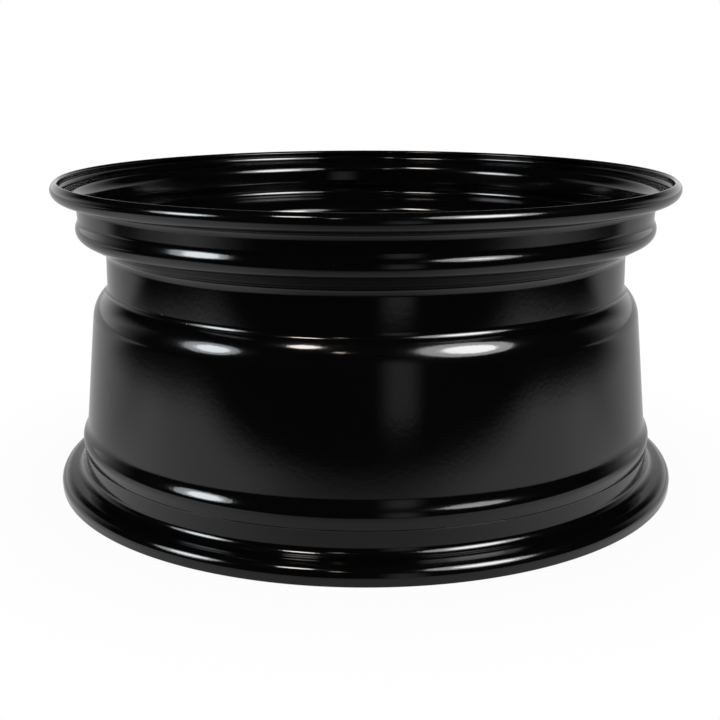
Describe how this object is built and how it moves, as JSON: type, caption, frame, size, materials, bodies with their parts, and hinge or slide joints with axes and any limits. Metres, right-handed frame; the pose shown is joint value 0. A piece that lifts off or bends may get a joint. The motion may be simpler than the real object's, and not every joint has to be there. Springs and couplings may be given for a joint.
{
  "type": "wheel rim",
  "caption": "Pressed-steel car wheel in gloss black: rolled rim with curled flanges, bead seats and drop-centre well, welded to a dished disc with stud and hand holes.",
  "frame": {"origin": "on the wheel's axis, level with the edge of the inboard lip that the wheel lies on", "axes": "+Z along the wheel's axis, from the inboard side up to the face side; +X through the valve hole and one stud hole"},
  "size_m": [0.4712, 0.4712, 0.2298],
  "materials": {
    "gloss_black_paint": "gloss"
  },
  "bodies": {
    "root": {"rim": "gloss_black_paint", "disc": "gloss_black_paint", "weld_beads": "gloss_black_paint"}
  },
  "joints": []
}
